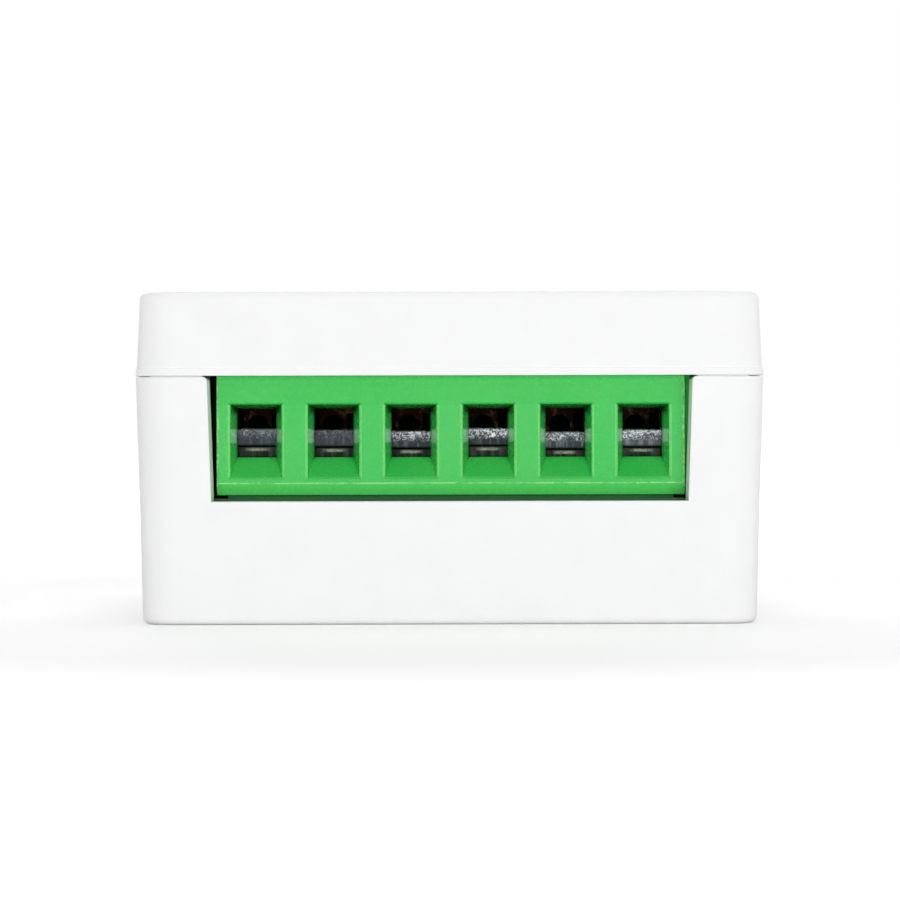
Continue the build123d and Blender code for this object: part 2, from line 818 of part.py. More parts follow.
def relay_terminal_outlines(relay_x, relay_y):
    """Plan ranges and tops of a relay's four terminals: contact, common and two coil pins."""
    half_strip = relay_strip_width / 2
    half_pin = relay_pin_size / 2
    stub_top = yoke_bottom + relay_pin_stub
    outlines = [
        (
            (relay_x + contact_offset - half_strip, relay_x + contact_offset + half_strip),
            (relay_y + fixed_strip_back, relay_y + fixed_strip_front),
            fixed_strip_top,
        ),
        (
            (relay_x - relay_pin_inset - half_pin, relay_x - relay_pin_inset + half_pin),
            (relay_y + common_back, relay_y + relay_common_front),
            stub_top,
        ),
    ]
    for side in (-1, 1):
        pin_x = relay_x + side * relay_pin_inset
        outlines.append(
            (
                (pin_x - half_pin, pin_x + half_pin),
                (relay_y + relay_pin_back - half_pin, relay_y + relay_pin_back + half_pin),
                stub_top,
            )
        )
    return outlines


def make_relay(number, relay_x, relay_y):
    """All pieces of one relay, with its length along Y."""
    plan = (relay_x, relay_y)
    with BuildPart() as relay_case:
        with BuildSketch(Plane.XY.offset(board_top)):
            with Locations(plan):
                Rectangle(relay_width, relay_length)
        extrude(amount=relay_height)
        upper_edges = relay_case.edges().filter_by(Axis.Z) + relay_case.edges().group_by(Axis.Z)[-1]
        fillet(upper_edges, relay_edge_radius)
        with BuildSketch(Plane.XY.offset(board_top)):
            with Locations(plan):
                Rectangle(relay_width - 2 * relay_wall, relay_length - 2 * relay_wall)
        extrude(amount=relay_height - relay_wall, mode=Mode.SUBTRACT)
    finish(relay_case, f"relay_case_{number}")

    with BuildPart() as relay_base:
        shrink = 2 * (relay_wall + relay_fit)
        with BuildSketch(Plane.XY.offset(board_top + relay_base_lift)):
            with Locations(plan):
                Rectangle(relay_width - shrink, relay_length - shrink)
            for x_range, y_range, _ in relay_terminal_outlines(relay_x, relay_y):
                middle = ((x_range[0] + x_range[1]) / 2, (y_range[0] + y_range[1]) / 2)
                slot_size_x = x_range[1] - x_range[0] + 2 * relay_fit
                slot_size_y = y_range[1] - y_range[0] + 2 * relay_fit
                with Locations(middle):
                    Rectangle(slot_size_x, slot_size_y, mode=Mode.SUBTRACT)
        extrude(amount=relay_base_thickness)
    finish(relay_base, f"relay_base_{number}")

    back_plane = Plane((relay_x, relay_y + bobbin_back, coil_axis), x_dir=(1, 0, 0), z_dir=(0, 1, 0))
    with BuildPart() as relay_bobbin:
        with BuildSketch(back_plane):
            Rectangle(bobbin_flange_size, bobbin_flange_size)
        extrude(amount=bobbin_flange_thickness)
        with BuildSketch(back_plane.offset(bobbin_length - bobbin_flange_thickness)):
            Rectangle(bobbin_flange_size, bobbin_flange_size)
        extrude(amount=bobbin_flange_thickness)
        with BuildSketch(back_plane):
            Circle(bobbin_tube_radius)
        extrude(amount=bobbin_length)
        with BuildSketch(back_plane):
            Circle(core_radius + core_fit)
        extrude(amount=bobbin_length, mode=Mode.SUBTRACT)
    finish(relay_bobbin, f"relay_bobbin_{number}")

    with BuildPart() as relay_winding:
        with BuildSketch(back_plane.offset(bobbin_flange_thickness)):
            Circle(winding_radius)
            Circle(bobbin_tube_radius, mode=Mode.SUBTRACT)
        extrude(amount=bobbin_length - 2 * bobbin_flange_thickness)
    finish(relay_winding, f"relay_winding_{number}")

    with BuildPart() as relay_core:
        with BuildSketch(back_plane.offset(-relay_fit - yoke_thickness)):
            Circle(core_radius)
        extrude(amount=yoke_thickness + bobbin_length + 2 * relay_fit)
        with BuildSketch(back_plane.offset(bobbin_length + relay_fit)):
            Circle(pole_radius)
        extrude(amount=pole_thickness)
    finish(relay_core, f"relay_core_{number}")

    with BuildPart() as relay_yoke:
        yoke_x = (relay_x - yoke_width / 2, relay_x + yoke_width / 2)
        upright_y = (relay_y + yoke_back, relay_y + yoke_back + yoke_thickness)
        plan_block(yoke_x, upright_y, (yoke_bottom, yoke_bottom + yoke_upright_height))
        bar_y = (relay_y + yoke_back, relay_y + pole_face)
        plan_block(yoke_x, bar_y, (yoke_bottom, yoke_bottom + yoke_thickness))
        with BuildSketch(back_plane.offset(-relay_fit)):
            Circle(core_radius)
        extrude(amount=-yoke_thickness, mode=Mode.SUBTRACT)
    finish(relay_yoke, f"relay_yoke_{number}")

    # Tilted plane on the hinge line: local Z runs up the armature, local Y through it
    tilt = math.radians(armature_angle)
    hinge_plane = Plane(
        (relay_x, relay_y + hinge_front, hinge_height),
        x_dir=(1, 0, 0),
        z_dir=(0, math.sin(tilt), math.cos(tilt)),
    )
    with BuildPart() as relay_armature:
        with BuildSketch(hinge_plane.offset(-armature_heel)):
            with Locations((0, armature_thickness / 2)):
                Rectangle(yoke_width, armature_thickness)
        extrude(amount=armature_heel + armature_height)
    finish(relay_armature, f"relay_armature_{number}")

    with BuildPart() as relay_blade:
        blade_middle = armature_thickness + blade_thickness / 2
        arm_reach = contact_offset + contact_radius + blade_width / 2
        with BuildSketch(hinge_plane.offset(blade_foot)):
            with Locations((0, blade_middle)):
                Rectangle(blade_width, blade_thickness)
        extrude(amount=blade_top - blade_foot)
        with BuildSketch(hinge_plane.offset(contact_lever - arm_width / 2)):
            with Locations((arm_reach / 2 - blade_width / 2, blade_middle)):
                Rectangle(arm_reach, blade_thickness)
        extrude(amount=arm_width)
        rivet_plane = Plane(
            hinge_plane.from_local_coords(Vector(contact_offset, armature_thickness, contact_lever)),
            x_dir=(1, 0, 0),
            z_dir=hinge_plane.y_dir,
        )
        with BuildSketch(rivet_plane):
            Circle(contact_radius)
        extrude(amount=-moving_contact_thickness)
    finish(relay_blade, f"relay_blade_{number}")

    with BuildPart() as relay_terminals:
        for x_range, y_range, top in relay_terminal_outlines(relay_x, relay_y):
            plan_block(x_range, y_range, (pin_tip, top))
        fixed_plane = Plane(
            (relay_x + contact_offset, relay_y + fixed_strip_front, hinge_height + contact_lever),
            x_dir=(1, 0, 0),
            z_dir=(0, 1, 0),
        )
        with BuildSketch(fixed_plane):
            Circle(contact_radius)
        extrude(amount=fixed_contact_thickness)
    finish(relay_terminals, f"relay_terminals_{number}")


for relay_index, (place_x, place_y) in enumerate(relay_places):
    make_relay(relay_index + 1, place_x, place_y)


# Mains supply: capacitors, transformer, varistor and fuse resistor
def can_capacitor(name, place, radius, height):
    """Upright can with a rolled groove near its foot and two leads."""
    with BuildPart() as can:
        plane = Plane((*place, board_top), x_dir=(1, 0, 0), z_dir=(0, -1, 0))
        with BuildSketch(plane):
            with BuildLine():
                Polyline(
                    (0, 0),
                    (radius - can_edge_radius, 0),
                    (radius, can_edge_radius),
                    (radius, can_groove_rise - can_groove_depth),
                    (radius - can_groove_depth, can_groove_rise),
                    (radius, can_groove_rise + can_groove_depth),
                    (radius, height - can_edge_radius),
                    (radius - can_edge_radius, height),
                    (0, height),
                    close=True,
                )
            make_face()
        revolve(axis=Axis((*place, board_top), (0, 0, 1)))
        plan_rod(lead_pair(place, radius), lead_radius, (pin_tip, board_top))
    finish(can, name)


def lead_pair(place, radius):
    """Two lead places, side by side along X under a round body."""
    spread = radius * lead_spacing_share
    return [(place[0] - spread, place[1]), (place[0] + spread, place[1])]


can_capacitor("bulk_capacitor", bulk_place, bulk_radius, bulk_height)
can_capacitor("output_capacitor", output_place, output_radius, output_height)

ferrite_bottom = board_top + ferrite_lift
ferrite_middle = ferrite_bottom + ferrite_height / 2
window_centre = ferrite_leg + ferrite_window_width / 2
ferrite_window_height = winding_block_height + 2 * ferrite_clearance
winding_half = ferrite_leg + ferrite_window_width - ferrite_clearance

with BuildPart() as transformer_core:
    core_plane = Plane((*transformer_place, ferrite_middle), x_dir=(1, 0, 0), z_dir=(0, -1, 0))
    with BuildSketch(core_plane):
        Rectangle(ferrite_width, ferrite_height)
        with GridLocations(2 * window_centre, 0, 2, 1):
            Rectangle(ferrite_window_width, ferrite_window_height, mode=Mode.SUBTRACT)
    extrude(amount=ferrite_depth / 2, both=True)
finish(transformer_core, "transformer_core")

with BuildPart() as transformer_bobbin:
    winding_bottom = ferrite_middle - winding_block_height / 2
    with BuildSketch(Plane.XY.offset(winding_bottom)):
        with Locations(transformer_place):
            Rectangle(2 * winding_half, winding_block_length)
            Rectangle(
                2 * (ferrite_leg + ferrite_clearance),
                ferrite_depth + 2 * ferrite_clearance,
                mode=Mode.SUBTRACT,
            )
    extrude(amount=winding_block_height)
    leg_spacing = winding_block_length - bobbin_leg_depth
    with BuildSketch(Plane.XY.offset(board_top)):
        with Locations(transformer_place):
            with GridLocations(0, leg_spacing, 1, 2):
                Rectangle(2 * winding_half, bobbin_leg_depth)
    extrude(amount=winding_bottom - board_top)
finish(transformer_bobbin, "transformer_bobbin")

with BuildPart() as varistor:
    varistor_x, varistor_y = varistor_place
    varistor_middle = board_top + varistor_lift + varistor_radius
    disc_plane = Plane((varistor_x, varistor_y, varistor_middle), x_dir=(0, 1, 0), z_dir=(1, 0, 0))
    with BuildSketch(disc_plane):
        Circle(varistor_radius)
    extrude(amount=varistor_thickness / 2, both=True)
    fillet(varistor.edges().filter_by(GeomType.CIRCLE), varistor_edge_radius)
    varistor_leads = [
        (varistor_x, varistor_y - varistor_lead_reach),
        (varistor_x, varistor_y + varistor_lead_reach),
    ]
    plan_rod(varistor_leads, lead_radius, (pin_tip, varistor_middle))
finish(varistor, "varistor")

with BuildPart() as fuse_resistor:
    resistor_x, resistor_y = resistor_place
    resistor_axis = board_top + resistor_lift + resistor_cap_radius
    half_length = resistor_length / 2
    half_body = half_length - resistor_cap_length
    side_plane = Plane((resistor_x, resistor_y, resistor_axis), x_dir=(1, 0, 0), z_dir=(0, -1, 0))
    with BuildSketch(side_plane) as resistor_profile:
        with BuildLine():
            Polyline(
                (-half_length, 0),
                (-half_length, resistor_cap_radius),
                (-half_body, resistor_cap_radius),
                (-half_body, resistor_radius),
                (half_body, resistor_radius),
                (half_body, resistor_cap_radius),
                (half_length, resistor_cap_radius),
                (half_length, 0),
                close=True,
            )
        make_face()
        cap_corners = resistor_profile.vertices().group_by(Axis.Y)[-1].sort_by(Axis.X)
        fillet((cap_corners[0], cap_corners[-1]), resistor_edge_radius)
    revolve(axis=Axis((resistor_x, resistor_y, resistor_axis), (1, 0, 0)))
    with BuildSketch(Plane((resistor_x, resistor_y, resistor_axis), x_dir=(0, 1, 0), z_dir=(1, 0, 0))):
        Circle(lead_radius)
    extrude(amount=resistor_lead_reach + lead_radius, both=True)
    resistor_leads = [
        (resistor_x - resistor_lead_reach, resistor_y),
        (resistor_x + resistor_lead_reach, resistor_y),
    ]
    plan_rod(resistor_leads, lead_radius, (pin_tip, resistor_axis))
finish(fuse_resistor, "fuse_resistor")

# Radio module: a small board on edge with a shield can on its front
radio_x, radio_y = radio_place
shield_bottom = board_top + shield_lift

with BuildPart() as radio_board:
    radio_x_range = (radio_x - radio_width / 2, radio_x + radio_width / 2)
    plan_block(radio_x_range, (radio_y, radio_y + radio_thickness), (board_top, board_top + radio_height))
finish(radio_board, "radio_board")

with BuildPart() as radio_shield:
    shield_x = (radio_x - shield_width / 2, radio_x + shield_width / 2)
    plan_block(shield_x, (radio_y - shield_depth, radio_y), (shield_bottom, shield_bottom + shield_height))
    front_edges = radio_shield.faces().sort_by(Axis.Y)[0].edges()
    fillet(front_edges, shield_edge_radius)
    inner_x = (shield_x[0] + shield_wall, shield_x[1] - shield_wall)
    inner_z = (shield_bottom + shield_wall, shield_bottom + shield_height - shield_wall)
    plan_block(inner_x, (radio_y - shield_depth + shield_wall, radio_y), inner_z, Mode.SUBTRACT)
finish(radio_shield, "radio_shield")

# Circuit board, with a hole for each pin and lead
board_half_width = case_width / 2 - wall - base_inset(board_bottom) - board_clearance
board_half_depth = case_depth / 2 - wall - base_inset(board_bottom) - board_clearance
lead_places = (
    lead_pair(bulk_place, bulk_radius)
    + lead_pair(output_place, output_radius)
    + varistor_leads
    + resistor_leads
)
contact_hole_radius = math.hypot(contact_pin_width, strip_thickness) / 2 + lead_hole_clearance

with BuildPart() as main_board:
    with BuildSketch(Plane.XY.offset(board_bottom)):
        RectangleRounded(2 * board_half_width, 2 * board_half_depth, board_corner_radius)
        with Locations(*post_places):
            Circle(pin_radius + pin_clearance, mode=Mode.SUBTRACT)
        with Locations(*[(way_x, pin_y) for way_x in way_places_x]):
            Circle(contact_hole_radius, mode=Mode.SUBTRACT)
        with Locations(*lead_places):
            Circle(lead_radius + lead_hole_clearance, mode=Mode.SUBTRACT)
        for place_x, place_y in relay_places:
            for x_range, y_range, _ in relay_terminal_outlines(place_x, place_y):
                with Locations(((x_range[0] + x_range[1]) / 2, (y_range[0] + y_range[1]) / 2)):
                    SlotOverall(
                        x_range[1] - x_range[0] + slot_end_clearance,
                        y_range[1] - y_range[0] + slot_side_clearance,
                        mode=Mode.SUBTRACT,
                    )
    extrude(amount=board_thickness)
finish(main_board, "main_board")
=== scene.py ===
import json
import math

import bpy
from mathutils import Matrix, Vector


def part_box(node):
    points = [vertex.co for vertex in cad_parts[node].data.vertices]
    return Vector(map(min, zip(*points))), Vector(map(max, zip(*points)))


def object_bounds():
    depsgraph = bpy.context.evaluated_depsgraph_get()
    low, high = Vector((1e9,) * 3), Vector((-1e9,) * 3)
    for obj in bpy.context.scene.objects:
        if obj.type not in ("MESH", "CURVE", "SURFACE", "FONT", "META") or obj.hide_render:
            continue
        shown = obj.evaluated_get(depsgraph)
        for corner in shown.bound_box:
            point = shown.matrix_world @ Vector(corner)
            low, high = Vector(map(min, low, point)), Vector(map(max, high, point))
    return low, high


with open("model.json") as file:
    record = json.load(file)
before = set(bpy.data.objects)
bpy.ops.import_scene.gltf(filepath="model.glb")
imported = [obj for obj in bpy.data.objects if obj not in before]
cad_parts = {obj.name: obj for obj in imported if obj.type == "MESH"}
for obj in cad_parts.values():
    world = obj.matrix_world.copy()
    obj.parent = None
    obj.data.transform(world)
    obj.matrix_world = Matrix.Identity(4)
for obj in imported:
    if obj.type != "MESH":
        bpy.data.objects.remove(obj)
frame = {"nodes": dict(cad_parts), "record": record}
cad_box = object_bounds()

# Sizes and places are in metres. A SPAN is a start and an end. A BAND is a middle, a half width and
# the width over which it fades. An AIR is how far a face looks for others, and the span of its view.
MM = 0.001
WHITE = (1.0, 1.0, 1.0)
MASK = (0.0, 1.0)
INVERTED = (1.0, 0.0)
NOISE_SPAN = (0.3, 0.7)
PATCH_SPAN = (0.35, 0.65)


# Node helpers

OPAQUE = 1.0
AIR_SAMPLES = 8
BEVEL_SAMPLES = 6
# Cosines between the flat and the rounded normal where wear on an edge starts and is full
WORN_SPAN = (0.98, 0.65)
# Whole periods added so that places left of the middle count up from zero too
SPARE_PERIODS = 100.0


class Tree:
    """A node tree under construction."""

    def __init__(self, tree):
        self.tree = tree

    def feed(self, target, value):
        """Link a socket to an input, or set the input to a constant."""
        if isinstance(value, bpy.types.NodeSocket):
            self.tree.links.new(value, target)
        elif isinstance(value, tuple) and len(target.default_value) > len(value):
            target.default_value = (*value, OPAQUE)
        else:
            target.default_value = value

    def node(self, kind, inputs, **settings):
        """Outputs of a new node with these inputs and settings."""
        made = self.tree.nodes.new(kind)
        for key, value in settings.items():
            setattr(made, key, value)
        for key, value in inputs.items():
            self.feed(made.inputs[key], value)
        return made.outputs

    def math(self, operation, first, second=0.0):
        return self.node("ShaderNodeMath", {0: first, 1: second}, operation=operation)["Value"]

    def times(self, first, *factors):
        """Product of masks and values."""
        for factor in factors:
            first = self.math("MULTIPLY", first, factor)
        return first

    def remap(self, source, span, result=MASK):
        """Straight change from one span of values to another, held at both ends."""
        low, high = span
        first, last = result
        inputs = {"Value": source, "From Min": low, "From Max": high, "To Min": first, "To Max": last}
        return self.node("ShaderNodeMapRange", inputs)["Result"]

    def seen_rays(self):
        """1 for the rays that show the background: camera, glossy and transmission rays."""
        path = self.node("ShaderNodeLightPath", {})
        seen = self.math("MAXIMUM", path["Is Camera Ray"], path["Is Glossy Ray"])
        return self.math("MAXIMUM", seen, path["Is Transmission Ray"])


class Surface(Tree):
    """A material under construction: its node tree and its main shader."""

    def __init__(self, name):
        self.material = bpy.data.materials.new(name)
        self.material.use_nodes = True
        super().__init__(self.material.node_tree)
        self.shader = self.tree.nodes["Principled BSDF"]
        self.coords = self.node("ShaderNodeTexCoord", {})["Object"]

    def drive(self, **values):
        """Feed the main shader's inputs, whose names have an underscore for each space."""
        for key, value in values.items():
            self.feed(self.shader.inputs[key.replace("_", " ")], value)

    def stretched(self, scale):
        """Object coordinates stretched by a factor along each axis."""
        return self.node("ShaderNodeMapping", {"Vector": self.coords, "Scale": scale})["Vector"]

    def noise(self, size, detail=4.0, roughness=0.55, distortion=0.0, scale=None):
        """Noise whose patches are about this size across."""
        inputs = {"Scale": 1.0 / size, "Detail": detail, "Roughness": roughness, "Distortion": distortion}
        inputs["Vector"] = self.stretched(scale) if scale else self.coords
        return self.node("ShaderNodeTexNoise", inputs)["Fac"]

    def place(self, axis):
        """Place along one axis of the part's frame."""
        return self.node("ShaderNodeSeparateXYZ", {"Vector": self.coords})[axis]

    def band(self, source, middle, half_width, fade):
        """1 within a half width of a value, fading to 0 outside it."""
        away = self.math("ABSOLUTE", self.math("SUBTRACT", source, middle))
        return self.remap(away, (half_width, half_width + fade), INVERTED)

    def from_middle(self, source, period):
        """Distance of a value from the middle of its period."""
        periods = self.math("ADD", self.math("DIVIDE", source, period), SPARE_PERIODS)
        share = self.math("SUBTRACT", self.math("FRACT", periods), 0.5)
        return self.times(self.math("ABSOLUTE", share), period)

    def open_air(self, reach, span):
        """1 on open faces and 0 deep in a recess."""
        air = self.node("ShaderNodeAmbientOcclusion", {"Distance": reach}, samples=AIR_SAMPLES)["AO"]
        return self.remap(air, span)

    def mix(self, factor, first, second):
        """Blend of two colours, each a tuple or a socket."""
        return self.node("ShaderNodeMix", {"Factor": factor, 6: first, 7: second}, data_type="RGBA")[2]

    def soften(self, radius):
        """Normal with rounded edges, as a moulded or stamped edge has."""
        return self.node("ShaderNodeBevel", {"Radius": radius}, samples=BEVEL_SAMPLES)["Normal"]

    def edges(self, radius):
        """1 along sharp edges and 0 on flats."""
        flat = self.node("ShaderNodeNewGeometry", {})["Normal"]
        both = {0: self.soften(radius), 1: flat}
        cosine = self.node("ShaderNodeVectorMath", both, operation="DOT_PRODUCT")["Value"]
        return self.remap(cosine, WORN_SPAN)

    def bump(self, height, distance, normal=None):
        """Normal of a fine relief, laid over another normal if one is given."""
        inputs = {"Height": height, "Distance": distance}
        if normal is not None:
            inputs["Normal"] = normal
        return self.node("ShaderNodeBump", inputs)["Normal"]


def tinted(color, factor):
    """A lighter or darker tone of a colour."""
    return tuple(min(1.0, channel * factor) for channel in color)


# Moulded plastic

CLOUD_SIZE = 3.5 * MM
EROSION_SIZE = 0.09 * MM
EROSION_HEIGHT = 0.004 * MM
MOULDED_EDGE = 0.08 * MM
SMOOTHER, ROUGHER = 0.05, 0.07


def moulded_finish(s, color, roughness, grain, relief, mottle, edge):
    """Set grain and rounded edges, and return the clouded colour."""
    clouds = s.remap(s.noise(CLOUD_SIZE, detail=3.0), NOISE_SPAN)
    fine = s.noise(grain, detail=5.0, roughness=0.6)
    s.drive(
        Roughness=s.remap(fine, NOISE_SPAN, (roughness - SMOOTHER, roughness + ROUGHER)),
        Normal=s.bump(fine, relief, s.soften(edge)),
    )
    return s.mix(clouds, tinted(color, 1.0 - mottle), tinted(color, 1.0 + mottle))


def moulded(name, color, roughness, grain=EROSION_SIZE, relief=EROSION_HEIGHT, mottle=0.04, **extra):
    """Moulded plastic: fine eroded grain, slight clouding and softly rounded edges."""
    s = Surface(name)
    s.drive(Base_Color=moulded_finish(s, color, roughness, grain, relief, mottle, MOULDED_EDGE), **extra)
    return s.material


# White plastic of the case

SHELL_WHITE = (0.885, 0.885, 0.892)
SHELL_ROUGHNESS = 0.55
SHELL_MOTTLE = 0.012
SHELL_EDGE = 0.12 * MM
RIM_STEP_PAINTED_LIGHT = (0.985, 0.985, 0.990)
PAINTED_BOUNCE_GREEN = (0.06, 0.40, 0.04)
SEAM_LEVEL = 16.19 * MM
SEAM_BAND = (SEAM_LEVEL, 0.05 * MM, 0.02 * MM)
SEAM_PAINTED_GLOW = 0.18
SEAM_PAINTED_GLOW_SPAN = (1.5 * MM, 3.0 * MM)
COVER_RIM_BAND = (16.71 * MM, 0.05 * MM, 0.04 * MM)
CUT_OUT_WIDTH_BAND = (0.0, 15.9 * MM, 0.1 * MM)
CUT_OUT_DEPTH_BAND = (1.0 * MM, 0.8 * MM, 0.1 * MM)
CUT_OUT_SILL_SPAN = (7.9 * MM, 8.0 * MM)
SHELL_AIR = (1.5 * MM, (0.25, 0.75))


def shell_plastic(name, color):
    """White moulded case: faint clouds, painted green bounce light in the cut-out, painted light on the
    cover's rim step, and a painted glow in the seam in front.
    """
    s = Surface(name)
    level, depth = s.place("Z"), s.math("SUBTRACT", s.place("Y"), cad_box[0].y)
    body = moulded_finish(
        s, color, SHELL_ROUGHNESS, EROSION_SIZE, EROSION_HEIGHT, SHELL_MOTTLE, SHELL_EDGE,
    )
    # Painted light: the cover's rim step is lightened to cancel the darker line its shade gives
    body = s.mix(s.band(level, *COVER_RIM_BAND), body, RIM_STEP_PAINTED_LIGHT)
    closed = s.math("SUBTRACT", 1.0, s.open_air(*SHELL_AIR))
    # Painted bounce light: the cut-out's shaded walls take the block's green, as if reflected from it
    painted_bounce = s.times(
        closed,
        s.band(s.place("X"), *CUT_OUT_WIDTH_BAND),
        s.band(depth, *CUT_OUT_DEPTH_BAND),
        s.remap(level, CUT_OUT_SILL_SPAN),
    )
    # Painted glow: the shaded seam in front emits a faint light
    glow = s.times(closed, s.band(level, *SEAM_BAND), s.remap(depth, SEAM_PAINTED_GLOW_SPAN, INVERTED))
    s.drive(
        Base_Color=s.mix(painted_bounce, body, PAINTED_BOUNCE_GREEN),
        Emission_Color=WHITE,
        Emission_Strength=s.times(glow, SEAM_PAINTED_GLOW),
    )
    return s.material


# Green plastic of the terminal block. Depths are behind its front face, levels above the underside.

BLOCK_GREEN = (0.034, 0.500, 0.078)
CLOUD_GREEN = (0.062, 0.520, 0.092)
BAND_GREEN = (0.022, 0.455, 0.055)
CHAMFER_PAINTED_LIGHT_GREEN = (0.125, 0.840, 0.172)
LIP_PAINTED_LIGHT_GREEN = (0.062, 0.880, 0.140)
RIM_HIGHLIGHT_GREEN = (0.180, 0.740, 0.190)
BAR_REFLECTION_GREEN = (0.400, 0.850, 0.500)
FLASH_AND_HIGHLIGHT_GREEN = (0.320, 0.860, 0.280)
CHAMBER_SHADE_TONE = 0.008

PITCH = 5.08 * MM
MOUTH_HALF = 1.69 * MM
MOUTH_SILL = 9.66 * MM
MOUTH_TOP = 14.28 * MM
CHAMFER_EDGE = 9.18 * MM
BLOCK_UNDERSIDE = 8.40 * MM
RIB_REACH = 0.33 * MM
RIB_FADE = 0.1 * MM

BLOCK_CLOUD_SIZE = 9.0 * MM
BLOCK_CLOUD_SPAN = (0.42, 0.60)
SPECK_SIZE = 0.5 * MM
RAGGED_SIZE = 0.30 * MM
WANDER_SIZE = 1.2 * MM
WANDER_REACH = 0.30 * MM
BLOCK_RELIEF = 0.0012 * MM
BLOCK_EDGE = 0.06 * MM

OVER_MOUTHS_SPAN = (MOUTH_TOP, MOUTH_TOP + 0.08 * MM)
CHAMFER_SPAN = (CHAMFER_EDGE - 0.04 * MM, CHAMFER_EDGE)
LIP_SPAN = (SEAM_LEVEL - 0.50 * MM, SEAM_LEVEL)

RIM_DEPTH_BAND = (0.08 * MM, 0.05 * MM, 0.03 * MM)
RIM_TOP_SPAN = (MOUTH_TOP, MOUTH_TOP + 0.05 * MM)
RIM_SILL_SPAN = (MOUTH_SILL, MOUTH_SILL + 0.10 * MM)
RIM_SIDE_BAND = (MOUTH_HALF + 0.09 * MM, 0.045 * MM, 0.035 * MM)
RIM_SIDE_DEPTH = 0.2 * MM
MOUTH_BAND = ((MOUTH_SILL + MOUTH_TOP) / 2, (MOUTH_TOP - MOUTH_SILL) / 2, 0.1 * MM)
RIM_SPAN = (0.30, 0.5)

BAR_REFLECTION_DEPTH_BAND = (0.75 * MM, 0.45 * MM, 0.25 * MM)
BAR_REFLECTION_LEVEL_BAND = (12.30 * MM, 0.36 * MM, 0.14 * MM)
BAR_REFLECTION_SPAN = (0.3, 0.6)

END_HIGHLIGHT = (0.09 * MM, 0.08 * MM)
END_HIGHLIGHT_SPAN = (0.42, 0.55)
CHAMFER_LINE_BAND = (CHAMFER_EDGE, 0.025 * MM, 0.045 * MM)
CHAMFER_LINE_SIZE = 0.8 * MM
CHAMFER_LINE_SPAN = (0.40, 0.54)
CHAMFER_WANDER_SHARE = 0.35
EDGE_LINE_DEPTH_SPAN = (0.15 * MM, 0.30 * MM)

BLOCK_AIR = (3.5 * MM, (0.38, 0.64))
INNER_DEPTH_SPAN = (0.90 * MM, 1.50 * MM)
ROOF_DEPTH_SPAN = (0.15 * MM, 0.40 * MM)
ROOF_LEVEL_SPAN = (13.5 * MM, 13.9 * MM)
ROOF_DIM = 0.55
UNDERSIDE_SPAN = (BLOCK_UNDERSIDE, BLOCK_UNDERSIDE + 0.04 * MM)
UNDERSIDE_DIM = 0.86


def mouth_rims(s, across, depth, level, ragged, body):
    """The body colour with a painted highlight along the bevel and the sides round each mouth."""
    bevel = s.times(
        s.band(depth, *RIM_DEPTH_BAND),
        s.remap(ragged, RIM_SPAN, (0.6, 1.0)),
        s.remap(level, RIM_TOP_SPAN, INVERTED),
        s.remap(level, RIM_SILL_SPAN, (0.4, 1.0)),
    )
    sides = s.times(
        s.band(s.from_middle(across, PITCH), *RIM_SIDE_BAND),
        s.math("LESS_THAN", depth, RIM_SIDE_DEPTH),
        s.band(level, *MOUTH_BAND),
        s.remap(ragged, RIM_SPAN, (0.3, 0.75)),
    )
    return s.mix(sides, s.mix(bevel, body, RIM_HIGHLIGHT_GREEN), RIM_HIGHLIGHT_GREEN)


def flash_and_edge_highlights(s, across, depth, level, ragged, wander, ends):
    """Mask of the painted highlight along both rounded ends, and of the pale line along the chamfer's upper
    edge, partly moulding flash and partly painted highlight.
    """
    sideways = s.math("ADD", across, wander)
    left, right = (s.band(sideways, end, *END_HIGHLIGHT) for end in ends)
    upright = s.times(s.math("MAXIMUM", left, right), s.remap(ragged, END_HIGHLIGHT_SPAN, (0.2, 0.9)))
    broken = s.noise(CHAMFER_LINE_SIZE, detail=4.0, roughness=0.7)
    along = s.times(
        s.band(s.math("ADD", level, s.times(wander, CHAMFER_WANDER_SHARE)), *CHAMFER_LINE_BAND),
        s.remap(broken, CHAMFER_LINE_SPAN, (0.15, 1.0)),
    )
    return s.times(s.math("MAXIMUM", upright, along), s.remap(depth, EDGE_LINE_DEPTH_SPAN, INVERTED))


def chamber_shade(s, depth, level, between_ends):
    """Mask of painted shade in the closed chambers, on the mouths' roofs and on the rail under the block."""
    closed = s.math("SUBTRACT", 1.0, s.open_air(*BLOCK_AIR))
    roof = s.times(s.remap(depth, ROOF_DEPTH_SPAN), s.remap(level, ROOF_LEVEL_SPAN))
    inner = s.times(s.math("MAXIMUM", s.remap(depth, INNER_DEPTH_SPAN), roof), between_ends)
    under = s.remap(level, UNDERSIDE_SPAN, (UNDERSIDE_DIM, 0.0))
    shade = s.times(closed, s.math("MAXIMUM", inner, under))
    return s.math("MAXIMUM", shade, s.times(roof, between_ends, ROOF_DIM))


